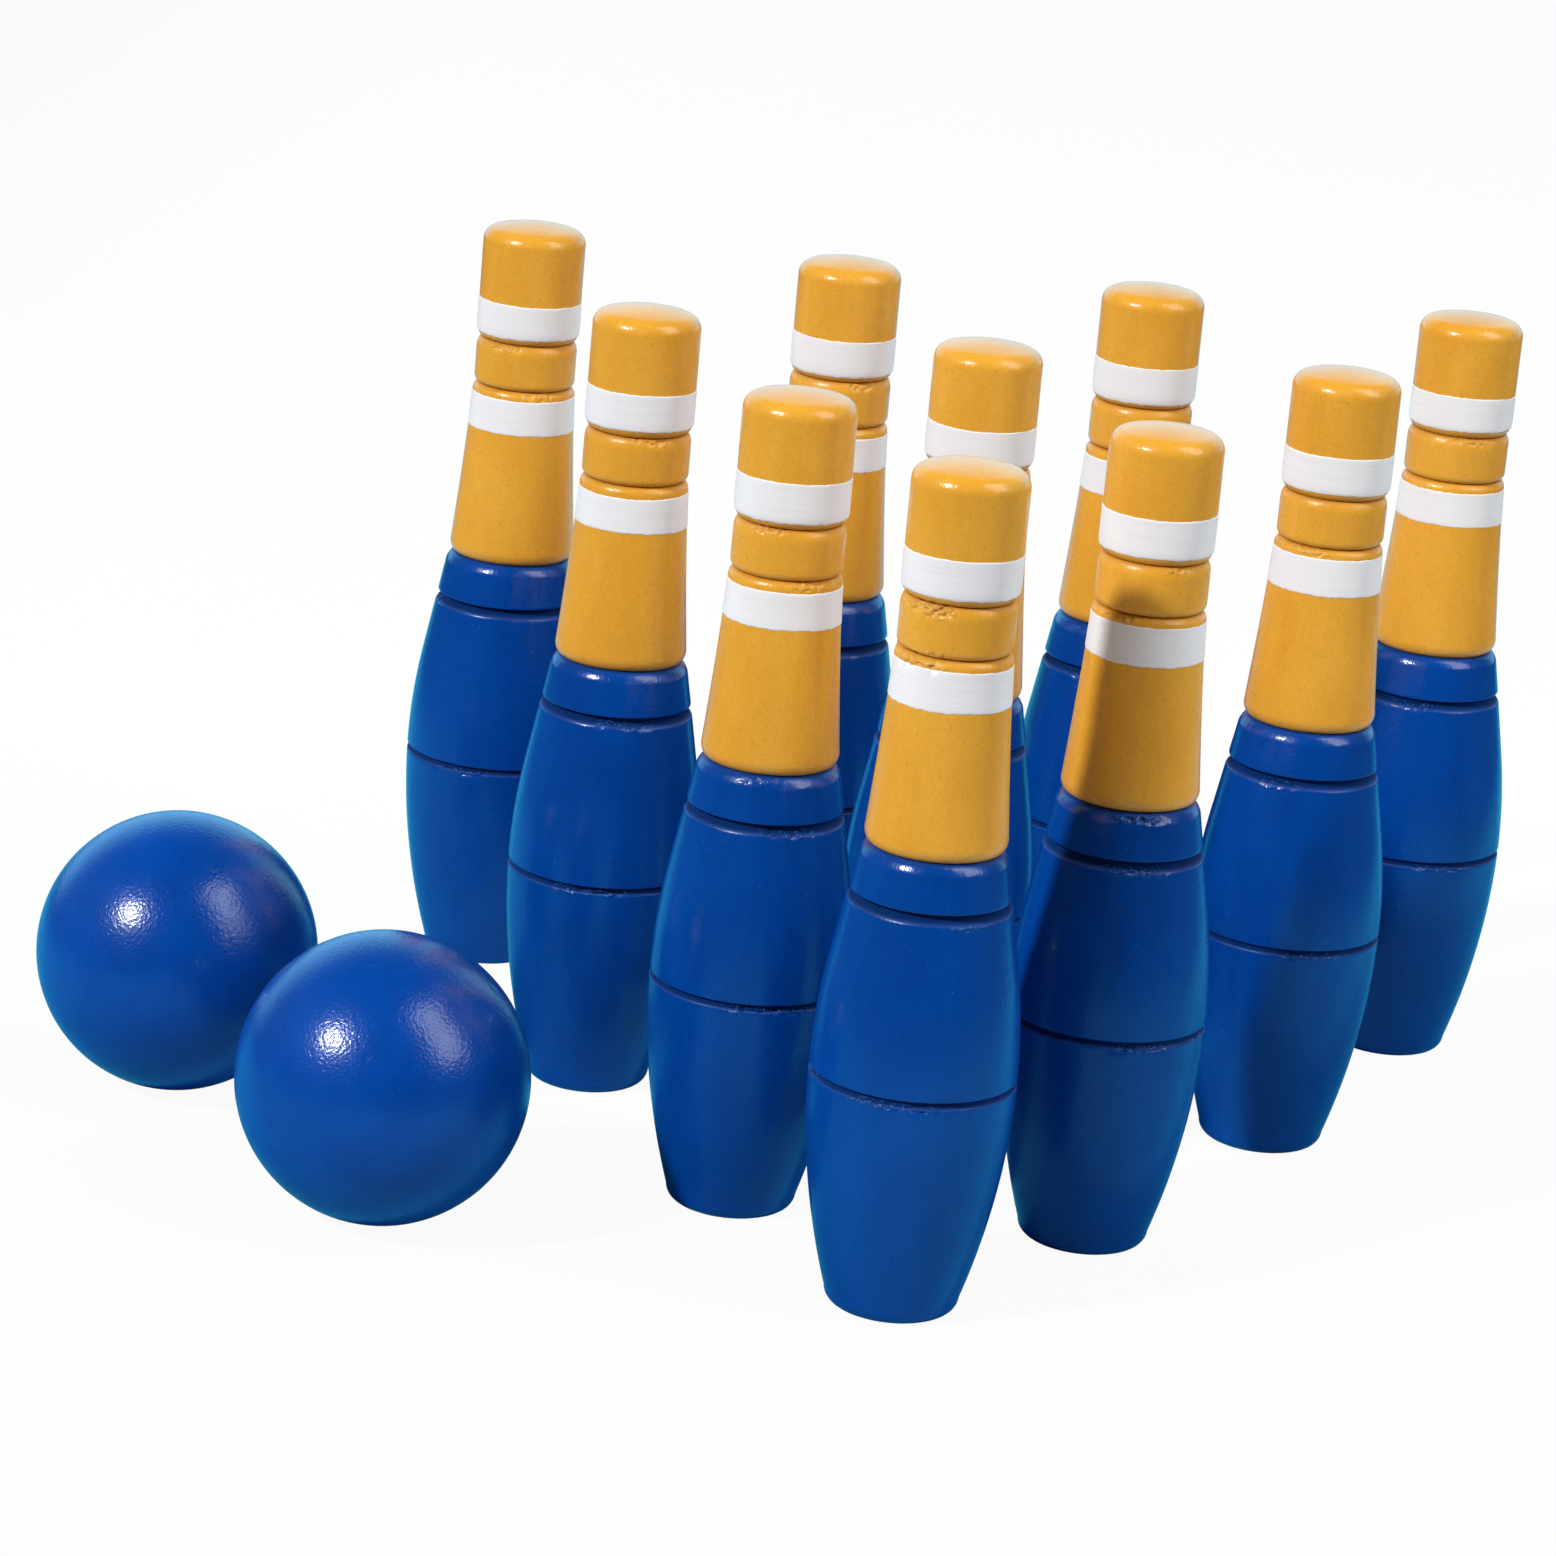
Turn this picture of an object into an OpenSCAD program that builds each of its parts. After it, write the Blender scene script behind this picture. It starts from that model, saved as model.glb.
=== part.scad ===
// Wooden bowling set: ten turned pins and two turned balls, all standing loose on the floor.
// Each pin is a barrel-shaped body and a neck that is glued into it by a turned tenon.
// Millimetres, +Z up, +Y to the back row, the origin under the middle of the centre pin's foot.

/* [Layout on the floor] */
// Distance between two neighbouring pins of one row
pin_spacing = 84; // [72:1:110]
// Distance from the front pin back to the second row
row_gap_front = 56; // [52:1:90]
// Distance from the second row back to the third
row_gap_middle = 76; // [60:1:110]
// Distance from the third row back to the last
row_gap_back = 92; // [60:1:120]
// How far left of the centre pin the outer ball lies
ball_left_x = 185; // [180:1:240]
// How far in front of the centre pin the outer ball lies
ball_left_y = 34; // [20:1:45]
// How far left of the centre pin the nearer ball lies
ball_near_x = 124; // [115:1:135]
// How far in front of the centre pin the nearer ball lies
ball_near_y = 111; // [106:1:150]

/* [Pin body] */
// Height of the body, from the floor to the seam under the neck
body_h = 111.3; // [100:0.1:140]
// Diameter of the belly, where the body is widest
belly_d = 48; // [40:0.5:60]
// Height of the belly and of the thin groove round it
belly_z = 56.8; // [45:0.1:65]
// Diameter of the flat that the pin stands on
foot_d = 24; // [16:0.5:26]
// Diameter that the barrel's curve would reach at the floor
barrel_low_d = 29.2; // [27:0.1:34]
// Height of the rounded edge of the foot
foot_edge_h = 3.6; // [1:0.1:6]
// How far above the belly the barrel's curve turns into a straight cone
curve_h = 27; // [15:1:35]
// Diameter of that cone at the seam
body_top_d = 33.4; // [32:0.1:38]
// Width of the thin groove round the belly
belly_groove_w = 1.3; // [0.6:0.1:3]
// Depth of the thin groove round the belly
belly_groove_depth = 0.9; // [0.4:0.1:2]

/* [Collar] */
// Distance from the seam down to the groove under the collar
collar_h = 12.4; // [9:0.1:16]
// Width of the groove under the collar
collar_groove_w = 2.4; // [1:0.1:4]
// Depth of the groove under the collar
collar_groove_depth = 1.5; // [0.5:0.1:2.5]
// Height of the rounded shoulder of the collar
collar_edge_h = 3; // [1:0.1:5]
// Diameter in the crease of the seam
crease_d = 29.4; // [26:0.1:31]

/* [Neck, ring and head] */
// Distance from the seam up to the groove under the ring
neck_h = 46; // [36:0.1:60]
// Diameter of the neck just above its rounded lower edge
neck_low_d = 32.8; // [31:0.1:36]
// Diameter of the neck at its upper end
neck_top_d = 27; // [24:0.1:29]
// How much of the neck's widening comes low down; 1 is a straight cone
neck_flare = 1.25; // [1:0.05:2]
// Height of the rounded lower edge of the neck
neck_edge_h = 2.7; // [1:0.1:5]
// Height of the rounded lip between the neck and the groove over it
neck_lip_h = 2.2; // [1:0.1:2.4]
// Distance between the middles of the two grooves beside the ring
ring_h = 12.2; // [9:0.1:18]
// Diameter of the ring
ring_d = 26.5; // [24:0.1:30]
// Height of the rounded upper edge of the ring
ring_upper_edge_h = 3; // [1:0.1:4]
// Height of the rounded lower edge of the ring
ring_lower_edge_h = 1.8; // [1:0.1:4]
// Diameter in the bottom of the two grooves beside the ring
ring_groove_d = 23.2; // [20:0.1:23.6]
// Distance from the groove over the ring to the top of the head
head_h = 30.5; // [26:0.1:40]
// Diameter of the head
head_d = 26.9; // [24:0.1:33]
// Height of the rounded lower edge of the head
head_lower_edge_h = 3; // [1:0.1:4]
// Radius of the rounded upper edge of the head
head_edge_r = 3.8; // [2:0.1:6]
// How far the middle of the head's top stands above its edge
head_crown = 1.2; // [0.3:0.1:3]

/* [Painted bands] */
// Thickness of the white paint
paint_t = 0.15; // [0.1:0.05:0.5]
// Height of the white band at the foot of the head
head_band_h = 9.2; // [5:0.1:12]
// Distance from the upper groove up to that band
head_band_gap = 1.6; // [1.2:0.1:3]
// Height of the white band at the top of the neck
neck_band_h = 9; // [5:0.1:14]
// Distance from the lower groove down to that band
neck_band_gap = 2.5; // [2.5:0.1:6]

/* [Glued joint] */
// Diameter of the tenon under the neck
tenon_d = 12; // [8:0.5:16]
// Length of the tenon
tenon_l = 22; // [12:1:40]
// Clearance round the tenon, filled with glue
tenon_clearance = 0.1; // [0.05:0.05:0.4]
// Room left under the tenon
tenon_end_room = 1.5; // [0.5:0.1:4]
// Bevel at the tip of the tenon
tenon_bevel = 1; // [0.4:0.1:2]

/* [Balls] */
// Diameter of each ball
ball_d = 69.4; // [60:0.1:76]

/* [Hidden] */
$fn = 96;
rows = 4;
pins = rows * (rows + 1) / 2;
pin_parts = ["body", "neck", "head_band", "neck_band"];

// Distance of each row behind the centre pin, front row first
row_y = [-row_gap_middle - row_gap_front, -row_gap_middle, 0, row_gap_back];
// Each pin stands a few millimetres off its regular place, as it was set down by hand
nudge = [
    [-1, 0],
    [0, 0], [1, 0],
    [0, 2], [0, 0], [4, 8],
    [5, 3], [4, -3], [-1, 0], [-2, 3]
];

// Heights above the floor
seam_z = body_h;
collar_z = seam_z - collar_h;
low_groove_z = seam_z + neck_h;
high_groove_z = low_groove_z + ring_h;
top_z = high_groove_z + head_h;
head_edge_z = top_z - head_crown - head_edge_r;

// Radii
belly_r = belly_d / 2;
foot_r = foot_d / 2;
head_r = head_d / 2;
ring_r = ring_d / 2;
neck_top_r = neck_top_d / 2;
neck_low_r = neck_low_d / 2;
groove_r = ring_groove_d / 2;
crease_r = crease_d / 2;
tenon_r = tenon_d / 2;
crown_r = head_r - head_edge_r;

// Steps along each rounded edge, along a turned curve and across the crown
edge_steps = 6;
curve_steps = 14;
crown_steps = 4;

// Place of a pin in its row of the triangle, counted from the front pin
function row_of(p) = p == 1 ? 0 : p <= 3 ? 1 : p <= 6 ? 2 : 3;
function first_of(row) = row * (row + 1) / 2 + 1;
function pin_place(p) =
    let (row = row_of(p), column = p - first_of(row))
    [(column - row / 2) * pin_spacing, row_y[row]] + nudge[p - 1];

// Outer radius of the body without its grooves, at height z
function barrel_drop(u) =
    let (full_u = seam_z - belly_z, drop = belly_r - body_top_d / 2)
    let (k = drop / (curve_h * (2 * full_u - curve_h)))
    u < curve_h ? k * u * u : k * curve_h * (2 * u - curve_h);
function body_side(z) = z < belly_z
    ? belly_r - (belly_r - barrel_low_d / 2) * pow((belly_z - z) / belly_z, 2)
    : belly_r - barrel_drop(z - belly_z);

// Outer radius of the neck's cone at height z
neck_base_z = seam_z + neck_edge_h;
neck_head_z = low_groove_z - neck_lip_h;
function neck_side(z) =
    neck_top_r + (neck_low_r - neck_top_r)
    * pow(max(0, neck_head_z - z) / (neck_head_z - neck_base_z), neck_flare);

// Outer radius of the head at height z, its rounded lower edge included
function head_side(z) =
    let (t = min(1, (z - high_groove_z) / head_lower_edge_h))
    groove_r + (head_r - groove_r) * sqrt(1 - pow(1 - t, 2));

// A rounded edge from a crease point out to the full radius, and the same edge walked inwards
function edge_out(r_in, z_in, r_out, z_out) =
    [for (i = [0:edge_steps]) let (a = 90 * i / edge_steps)
        [r_in + (r_out - r_in) * sin(a), z_in + (z_out - z_in) * (1 - cos(a))]];
function edge_in(r_out, z_out, r_in, z_in) =
    [for (i = [0:edge_steps]) let (a = 90 - 90 * i / edge_steps)
        [r_in + (r_out - r_in) * sin(a), z_in + (z_out - z_in) * (1 - cos(a))]];

// Points along the body's side between two heights
function body_curve(z0, z1) =
    [for (i = [0:curve_steps]) let (z = z0 + (z1 - z0) * i / curve_steps) [body_side(z), z]];

// A turned groove with eased edges; lip_share and floor_share set how its width is divided
lip_share = 0.3;
lip_depth_share = 0.25;
floor_share = 0.1;
function groove(z, w, depth) =
    let (r = body_side(z))
    [
        [r - lip_depth_share * depth, z - lip_share * w],
        [r - depth, z - floor_share * w],
        [r - depth, z + floor_share * w],
        [r - lip_depth_share * depth, z + lip_share * w]
    ];

// Half outline of the body, from the middle of the foot up to the middle of the seam.
// The side's curve starts edge_room above the foot's rounded edge.
edge_room = 1;
function body_outline() = concat(
    [[0, 0]],
    edge_out(foot_r, 0, body_side(foot_edge_h), foot_edge_h),
    body_curve(foot_edge_h + edge_room, belly_z - belly_groove_w / 2),
    groove(belly_z, belly_groove_w, belly_groove_depth),
    body_curve(belly_z + belly_groove_w / 2, collar_z - collar_groove_w / 2),
    groove(collar_z, collar_groove_w, collar_groove_depth),
    [[body_side(collar_z + collar_groove_w / 2), collar_z + collar_groove_w / 2]],
    edge_in(body_side(seam_z - collar_edge_h), seam_z - collar_edge_h, crease_r, seam_z),
    [[0, seam_z]]
);

// Half outline of the neck, ring and head, from the tip of the tenon up to the crown
function neck_outline() = concat(
    [
        [0, seam_z - tenon_l],
        [tenon_r - tenon_bevel, seam_z - tenon_l],
        [tenon_r, seam_z - tenon_l + tenon_bevel],
        [tenon_r, seam_z]
    ],
    edge_out(crease_r, seam_z, neck_low_r, neck_base_z),
    [for (i = [1:curve_steps])
        let (z = neck_base_z + (neck_head_z - neck_base_z) * i / curve_steps) [neck_side(z), z]],
    [for (i = [1:edge_steps]) edge_in(neck_top_r, neck_head_z, groove_r, low_groove_z)[i]],
    [for (i = [1:edge_steps])
        edge_out(groove_r, low_groove_z, ring_r, low_groove_z + ring_lower_edge_h)[i]],
    edge_in(ring_r, high_groove_z - ring_upper_edge_h, groove_r, high_groove_z),
    [for (i = [1:edge_steps])
        edge_out(groove_r, high_groove_z, head_r, high_groove_z + head_lower_edge_h)[i]],
    [for (i = [0:edge_steps]) let (a = 90 * i / edge_steps)
        [crown_r + head_edge_r * cos(a), head_edge_z + head_edge_r * sin(a)]],
    [for (i = [1:crown_steps]) let (r = crown_r * (1 - i / crown_steps))
        [r, top_z - head_crown * pow(r / crown_r, 2)]]
);

// The blue barrel-shaped body with its collar and the bore for the tenon.
// The bore is cut from bore_overrun above the seam, so that it opens cleanly.
bore_overrun = 1;
module pin_body() {
    color("#0a4ea8")
        difference() {
            rotate_extrude() polygon(body_outline());
            translate([0, 0, seam_z - tenon_l - tenon_end_room])
                cylinder(h = tenon_l + tenon_end_room + bore_overrun, r = tenon_r + tenon_clearance);
        }
}

// The yellow neck with its ring and head, turned from one piece with the tenon
module pin_neck() {
    color("#e0a030")
        rotate_extrude() polygon(neck_outline());
}

// A coat of white paint between two heights: what lies between the outer points and the wood.
// Its raw outline starts paint_inset below the grooves, and the wood is then taken off it.
band_steps = 8;
paint_inset = 1;
module paint_coat(z0, z1, outer) {
    color("#f4f4f6")
        rotate_extrude()
            difference() {
                polygon(concat([[groove_r - paint_inset, z0]], outer, [[groove_r - paint_inset, z1]]));
                polygon(neck_outline());
            }
}

module pin_head_band() {
    z0 = high_groove_z + head_band_gap;
    z1 = z0 + head_band_h;
    paint_coat(z0, z1, [for (i = [0:band_steps])
        let (z = z0 + head_band_h * i / band_steps) [head_side(z) + paint_t, z]]);
}

module pin_neck_band() {
    z1 = low_groove_z - neck_band_gap;
    z0 = z1 - neck_band_h;
    paint_coat(z0, z1, [for (i = [0:band_steps])
        let (z = z0 + neck_band_h * i / band_steps) [neck_side(z) + paint_t, z]]);
}

// A plain turned ball that rests on the floor at x, y
module ball(x, y) {
    color("#0a4ea8")
        translate([x, y, ball_d / 2]) sphere(d = ball_d);
}

for (p = [1:pins])
    translate([pin_place(p)[0], pin_place(p)[1], 0]) {
        pin_body();
        pin_neck();
        pin_head_band();
        pin_neck_band();
    }
ball(-ball_left_x, -ball_left_y);  // ball_left
ball(-ball_near_x, -ball_near_y);  // ball_near
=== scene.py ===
import math

import bpy
import numpy as np
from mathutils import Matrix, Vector


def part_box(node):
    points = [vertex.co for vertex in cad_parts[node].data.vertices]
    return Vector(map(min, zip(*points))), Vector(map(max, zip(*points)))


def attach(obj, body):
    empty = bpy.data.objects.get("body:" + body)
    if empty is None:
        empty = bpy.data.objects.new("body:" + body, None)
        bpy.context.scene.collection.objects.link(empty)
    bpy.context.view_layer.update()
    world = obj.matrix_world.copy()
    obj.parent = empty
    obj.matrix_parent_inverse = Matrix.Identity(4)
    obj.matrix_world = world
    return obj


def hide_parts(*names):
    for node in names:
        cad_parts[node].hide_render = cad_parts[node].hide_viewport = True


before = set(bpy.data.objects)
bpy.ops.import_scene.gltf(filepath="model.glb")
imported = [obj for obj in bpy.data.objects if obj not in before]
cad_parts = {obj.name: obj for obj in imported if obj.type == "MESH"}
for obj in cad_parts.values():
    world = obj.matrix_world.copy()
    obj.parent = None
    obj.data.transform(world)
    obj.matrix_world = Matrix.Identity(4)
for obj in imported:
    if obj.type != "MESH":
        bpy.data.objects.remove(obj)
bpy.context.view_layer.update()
mm = 0.001
pinCount = 10


# sRGB hex, as a picture editor shows it, to the linear colour that Blender mixes with
def linear(hexColour):
    parts = [int(hexColour[i:i + 2], 16) / 255 for i in (1, 3, 5)]
    return [c / 12.92 if c <= 0.04045 else ((c + 0.055) / 1.055) ** 2.4 for c in parts] + [1.0]


# settings holds node properties by name and sockets by name or number. A socket's value is a number, a colour
# or the output of another node, which is then linked to it.
def addNode(tree, kind, settings):
    node = tree.nodes.new(kind)
    for key, value in settings.items():
        if isinstance(value, bpy.types.NodeSocket):
            tree.links.new(value, node.inputs[key])
        elif isinstance(key, str) and hasattr(node, key):
            setattr(node, key, value)
        else:
            node.inputs[key].default_value = value
    return node


def smooth(t):
    t = np.clip(t, 0, 1)
    return t * t * (3 - 2 * t)


# Smooth random values from -1 to 1 over a turned side; turn goes from 0 to 1 once round
def sideNoise(rng, girth, height, cellWide, cellHigh):
    columns = max(3, round(girth / cellWide))
    rows = max(3, round(height / cellHigh) + 3)
    lattice = rng.uniform(-1, 1, (rows, columns))

    def value(turn, z):
        x = (turn % 1.0) * columns
        y = np.clip(z / cellHigh, 0, rows - 2.001)
        column, row = np.floor(x).astype(int), np.floor(y).astype(int)
        fx, fy = smooth(x - column), smooth(y - row)
        left, right = column % columns, (column + 1) % columns
        low = lattice[row, left] * (1 - fx) + lattice[row, right] * fx
        high = lattice[row + 1, left] * (1 - fx) + lattice[row + 1, right] * fx
        return low * (1 - fy) + high * fy

    return value


turnedWood = {
    "height": 200.0,      # mm, pin
    "girth": 150.0,       # mm round the belly
    # mm deep, then mm wide and tall
    "waver": 0.05, "waverCell": (26, 34),        # slow unevenness from hand sanding
    "ripple": 0.012, "rippleCell": (3.0, 7.0),   # what a fingertip feels
    "lumpCell": (1.8, 0.7), "fibreCell": (1.1, 1.5),   # torn grain
    "backTear": (40, 0.9, 0.7),   # the unseen side's torn grain: reach, how tall, how deep, as in tornGrain
    "nicks": 9,                   # small knocks on each pin
    "nickWide": (0.35, 0.9), "nickDeep": (0.05, 0.16),   # mm
}

# Torn grain: where the gouge lifted fibres, as (height, degrees right of the side that faces the camera,
# reach in degrees, how tall, how deep). Heights and depths are in mm.
tornGrain = {
    1: [(168.2, -34, 40, 1.5, 0.9), (155.6, -38, 40, 1.2, 0.8), (157.9, -30, 34, 0.8, 0.6),
        (55.9, -8, 34, 0.8, 0.8), (97.4, 30, 22, 0.7, 0.5)],
    2: [(56.4, 14, 34, 0.8, 0.8), (98.2, 20, 30, 0.8, 0.7), (168.9, -20, 34, 0.9, 0.5),
        (110.2, -4, 26, 0.7, 0.5), (156.4, 30, 30, 0.9, 0.6)],
    3: [(109.9, 6, 30, 0.9, 0.8), (98.0, 8, 34, 0.9, 0.7), (56.0, 20, 26, 0.8, 0.7),
        (168.6, 22, 16, 0.7, 0.7), (156.2, -36, 30, 0.9, 0.6)],
    4: [(56.4, -4, 36, 0.8, 0.7), (98.2, 12, 30, 0.9, 0.6), (168.9, 18, 30, 0.9, 0.6)],
    5: [(168.8, 10, 32, 0.9, 0.6), (110.0, 20, 28, 0.8, 0.6)],
    6: [(56.0, 16, 30, 0.8, 0.7), (156.4, -20, 32, 0.9, 0.6), (98.2, -18, 26, 0.8, 0.6)],
    7: [(168.8, -26, 32, 0.9, 0.6), (156.4, 24, 28, 0.9, 0.6), (56.1, -20, 28, 0.8, 0.6)],
    8: [(168.8, 30, 28, 0.9, 0.6), (98.2, 10, 30, 0.8, 0.6)],
    9: [(156.4, -24, 30, 0.9, 0.6), (98.2, -22, 30, 0.8, 0.6)],
    10: [(56.1, 18, 30, 0.8, 0.7), (168.8, 12, 30, 0.9, 0.6), (98.4, -14, 26, 0.8, 0.6)],
}


# How far the finished surface lies inside the true turned shape, in mm, for any place on a pin
def pinRelief(pin, look):
    rng = np.random.default_rng(700 + pin)
    cells = (look["waverCell"], look["rippleCell"], look["lumpCell"], look["fibreCell"])
    broad, ripple, lumps, fibres = [sideNoise(rng, look["girth"], look["height"], *cell) for cell in cells]
    back = [(z, rng.uniform(90, 270), *look["backTear"]) for z in (56.1, 98.2, 156.4, 168.8)]
    zones = tornGrain[pin] + back
    nicks = [(rng.uniform(6, look["height"] - 8), rng.uniform(0, 360),
              rng.uniform(*look["nickWide"]), rng.uniform(*look["nickDeep"])) for _ in range(look["nicks"])]

    def depth(turn, z, radius):
        angle = turn * 360 + 180
        inward = look["waver"] * (1 - broad(turn, z)) + look["ripple"] * (1 - ripple(turn, z))
        rough = smooth(0.25 + 1.3 * lumps(turn, z) + 0.9 * fibres(turn, z))
        torn = 0 * inward
        for height, middle, reach, tall, deep in zones:
            aside = np.abs((angle - middle + 180) % 360 - 180)
            near = smooth(1.6 - 1.6 * aside / reach) * np.exp(-((z - height) / tall) ** 2)
            inward = inward + near * deep * rough
            torn = np.maximum(torn, near * min(1.0, deep / 0.8))
        for height, middle, wide, deep in nicks:
            aside = np.radians((angle - middle + 180) % 360 - 180) * radius
            inward = inward + deep * np.exp(-(aside ** 2 + (z - height) ** 2) / wide ** 2)
        return inward, torn

    return depth


# Turns an outline into a closed mesh round a pin's middle. The outline's rows hold the radius, the height,
# the share of the relief that shows there and the share of darker colour: pooled paint and painted shade.
def turnedMesh(name, outline, middle, relief, steps, seamTurn):
    rows = np.array(outline, float)
    turn = (np.arange(steps) / steps)[None, :]
    radius = rows[:, 0:1] * np.ones_like(turn)
    height = rows[:, 1:2] * np.ones_like(turn)
    inward, torn = relief(turn, height, np.maximum(radius, 1))
    piece = ringMesh(name, radius - rows[:, 2:3] * inward, height, middle, seamTurn, True)
    markPoints(piece, "poolAndShade", rows[:, 3:4] * np.ones_like(turn))
    markPoints(piece, "torn", rows[:, 2:3] * torn)
    markPoints(piece, "filled", (1 - rows[:, 2:3]) * np.ones_like(turn))
    return piece


# Stores one value for each point of a ring mesh; the two end points keep 0
def markPoints(piece, name, values):
    held = np.zeros(len(piece.data.vertices), np.float32)
    held[:values.size] = values.ravel()
    piece.data.attributes.new(name, "FLOAT", "POINT").data.foreach_set("value", held)


innermost = 0.4   # mm, radius of the ring next to a closed end


# radius and height are grids of rows by steps, in mm; with ends, the first and last rows close at one point
def ringMesh(name, radius, height, middle, seamTurn, ends):
    rows, steps = radius.shape
    angle = 2 * math.pi * (np.arange(steps)[None, :] / steps + seamTurn)
    x = middle[0] + radius * np.cos(angle)
    y = middle[1] + radius * np.sin(angle)
    points = np.stack([x, y, height], axis=2).reshape(-1, 3)
    faces = []
    for row in range(rows - 1 if ends else rows):
        low, high = row * steps, ((row + 1) % rows) * steps
        for i in range(steps):
            j = (i + 1) % steps
            faces.append((low + i, low + j, high + j, high + i))
    if ends:
        points = np.vstack([points, [[middle[0], middle[1], height[0].mean()],
                                     [middle[0], middle[1], height[-1].mean()]]])
        bottom, top, last = len(points) - 2, len(points) - 1, (rows - 1) * steps
        faces += [(bottom, (i + 1) % steps, i) for i in range(steps)]
        faces += [(top, last + i, last + (i + 1) % steps) for i in range(steps)]
    mesh = bpy.data.meshes.new(name)
    mesh.from_pydata((points * mm).tolist(), [], faces)
    mesh.polygons.foreach_set("use_smooth", [True] * len(mesh.polygons))
    mesh.update()
    piece = bpy.data.objects.new(name, mesh)
    bpy.context.scene.collection.objects.link(piece)
    return piece


# Where each point lies in the plank that the piece was turned from, in mm from the plank's pith
def markGrain(piece, middle, pith, lean):
    count = len(piece.data.vertices)
    place = np.empty(count * 3)
    piece.data.vertices.foreach_get("co", place)
    place = place.reshape(-1, 3) / mm - np.array([middle[0], middle[1], 0])
    place[:, 0] += pith[0] + lean[0] * place[:, 2]
    place[:, 1] += pith[1] + lean[1] * place[:, 2]
    grain = piece.data.attributes.new("plankPlace", "FLOAT_VECTOR", "POINT")
    grain.data.foreach_set("vector", place.astype(np.float32).ravel())


def evenly(start, end, step):
    return np.linspace(start, end, max(2, round(abs(end - start) / step) + 1))


# A quarter round from (rIn, zIn), where it starts flat, out to (rOut, zOut), where it ends upright
def quarter(rIn, zIn, rOut, zOut, steps, poolAndShade=0.0):
    a = np.linspace(0, math.pi / 2, steps + 1)
    # the last value darkens the colour towards the flat end: pooled paint and painted shade
    return [(rIn + (rOut - rIn) * math.sin(t), zIn + (zOut - zIn) * (1 - math.cos(t)), 1.0,
             poolAndShade * (1 - math.sin(t)) ** 1.5) for t in a]


# pin shapes, in mm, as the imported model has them
pinBody = {
    "steps": 264,
    "seam": 111.3, "belly": 56.8, "bellyRadius": 24.0, "footRadius": 12.0, "lowRadius": 14.6,
    "footEdge": 3.6, "curve": 27.0, "topRadius": 16.7, "crease": 14.7, "shoulder": 3.0,
    "footHollow": (0.22, 11),   # mm deep, radius
    "bellyGroove": (56.8, 1.7, 0.85), "collarGroove": (98.9, 2.4, 1.5),   # height, width, depth
    "boreRadius": 6.1, "boreFloor": 87.8,
    "sideStep": 1.25, "bellyStep": 0.12, "collarStep": 0.16, "topStep": 1.0,   # mm between the mesh's rings
}


def bodySide(z, shape=pinBody):
    if z < shape["belly"]:
        drop = ((shape["belly"] - z) / shape["belly"]) ** 2
        return shape["bellyRadius"] - (shape["bellyRadius"] - shape["lowRadius"]) * drop
    u, full, curve = z - shape["belly"], shape["seam"] - shape["belly"], shape["curve"]
    k = (shape["bellyRadius"] - shape["topRadius"]) / (curve * (2 * full - curve))
    return shape["bellyRadius"] - (k * u * u if u < curve else k * curve * (2 * u - curve))


# A groove cut by a tilted tool: steep under its upper edge, then a soft slope down to a rounded lip.
# Heights are counted from the middle in half widths. Returns the depth in mm and the share of darker colour:
# paint pooled in the groove and painted shade.
def grooveCut(z, groove):
    middle, wide, deep = groove
    t = (z - middle) / (wide / 2)
    cut = np.interp(t, (-1.6, -1.3, -1.1, -0.9, -0.7, -0.5, -0.25, 0.1, 0.6, 0.8, 0.95, 1.1, 1.25),
                    (0, 0.03, 0.08, 0.18, 0.34, 0.54, 0.78, 0.95, 1, 0.8, 0.35, 0.07, 0))
    # the darker colour in the groove: pooled paint and painted shade
    paint = np.interp(t, (-1.3, -0.9, -0.5, -0.2, 0.95, 1.1, 1.25), (0, 0.5, 0.95, 1, 1, 0.6, 0))
    return deep * float(cut), float(paint)


# The collar's top, as shares of its width and height: flattish at the seam, then a broad soft bevel, tilted
# so that it catches the lamp, and a rounded corner
def shoulderRows(shape):
    edge = shape["seam"] - shape["shoulder"]
    wide = bodySide(edge) - shape["crease"]
    across = (0, 0.09, 0.243, 0.4, 0.52, 0.614, 0.69, 0.765, 0.844, 0.913, 0.954, 0.98, 1)
    down = (0, 0.033, 0.1, 0.183, 0.267, 0.35, 0.433, 0.533, 0.65, 0.767, 0.85, 0.917, 1)
    # the colour darkens towards the crease under the neck: pooled paint and painted shade
    return [(shape["crease"] + wide * a, shape["seam"] - shape["shoulder"] * d, 1.0 if a else 0.0,
             0.8 * (1 - a) ** 3) for a, d in zip(across, down)]


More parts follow.
